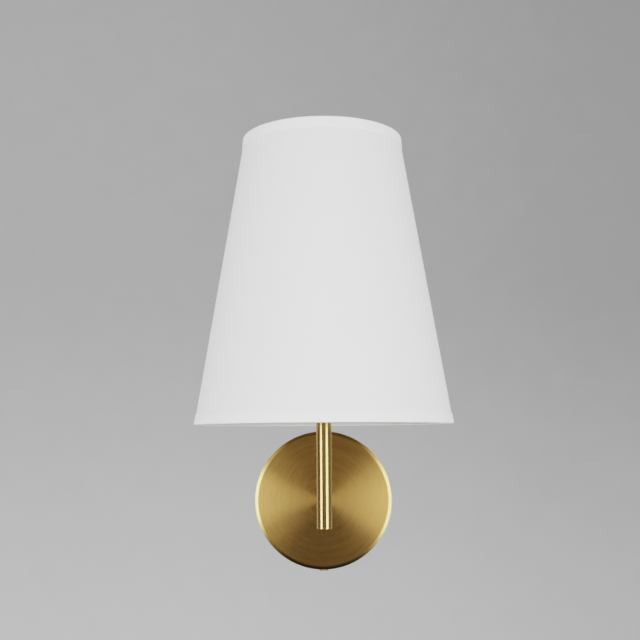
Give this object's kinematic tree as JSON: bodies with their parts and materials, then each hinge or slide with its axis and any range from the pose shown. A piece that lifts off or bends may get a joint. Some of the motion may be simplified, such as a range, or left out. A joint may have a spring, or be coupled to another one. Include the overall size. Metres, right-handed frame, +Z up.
{
  "type": "fabric shade wall light",
  "caption": "Wall light with a tapered white fabric shade on an upright brass stem, an arm and a round brushed brass backplate.",
  "frame": {"origin": "centre of the backplate on the wall plane, midway between the two box screw slots", "axes": "+Y into the wall along the box screws, +Z up along the stem, +X to the right seen from the room"},
  "size_m": [0.2034, 0.2217, 0.3572],
  "materials": {
    "brushed_brass": "concentric satin brushing",
    "satin_brass": "satin, almost polished",
    "turned_brass": "turned",
    "brass_screws": "satin",
    "zinc_steel": "zinc plated",
    "tinned_tag": "tinned",
    "green_screw": "green, semi gloss",
    "black_holder": "moulded, semi matt",
    "black_ring": "moulded, semi matt",
    "white_porcelain": "glazed",
    "nickel_brass": "nickel plated",
    "contact_bronze": "bright",
    "black_lead": "smooth insulation",
    "white_lead": "smooth insulation",
    "green_lead": "smooth insulation",
    "orange_connector": "moulded",
    "white_wirework": "powder coated",
    "white_liner": "smooth, slightly glossy",
    "white_cloth": "fine plain weave",
    "hem_cloth": "fine plain weave, folded",
    "bulb_solder": "solder",
    "bulb_black_glass": "glossy",
    "bulb_aluminium": "rolled thread",
    "frosted_glass": "frosted, opaque white"
  },
  "bodies": {
    "fixture": {"backplate": "brushed_brass", "crossbar": "zinc_steel", "backplate_screws": "brass_screws", "ground_screw": "green_screw", "ground_tag": "tinned_tag", "bonding_tag": "tinned_tag", "arm_lock_washer": "zinc_steel", "arm_nut": "zinc_steel", "arm_threaded_end": "turned_brass", "arm": "satin_brass", "stem": "satin_brass", "stem_end_plug": "satin_brass", "stem_threaded_end": "turned_brass", "holder_seat_washer": "satin_brass", "holder_cap": "black_holder", "holder_nut": "zinc_steel", "holder_core": "white_porcelain", "holder_skirt": "black_holder", "screw_shell": "nickel_brass", "centre_contact": "contact_bronze", "terminals": "contact_bronze", "terminal_screws": "nickel_brass", "hot_lead": "black_lead", "neutral_lead": "white_lead", "ground_lead": "green_lead", "wire_connectors": "orange_connector"},
    "shade_ring": {"shade_ring": "black_ring"},
    "shade": {"fitter_ring": "white_wirework", "fitter_spokes": "white_wirework", "bottom_wire_ring": "white_wirework", "top_wire_ring": "white_wirework", "shade_liner": "white_liner", "shade_fabric": "white_cloth", "back_seam": "white_cloth", "top_hem": "hem_cloth", "bottom_hem": "hem_cloth"},
    "bulb": {"bulb_contact": "bulb_solder", "bulb_insulator": "bulb_black_glass", "bulb_cap": "bulb_aluminium", "bulb_glass": "frosted_glass"}
  },
  "joints": [
    {"name": "shade_lift", "type": "slide", "parent": "fixture", "child": "shade_ring", "axis": [0, 0, 1], "range_m": [0, 0.18]},
    {"name": "shade_turn", "type": "hinge", "parent": "shade_ring", "child": "shade", "pos_m": [0, -0.12, 0.1193], "axis": [0, 0, 1], "continuous": true},
    {"name": "bulb_out", "type": "slide", "parent": "fixture", "child": "bulb", "axis": [0, 0, 1], "range_m": [0, 0.18]}
  ]
}
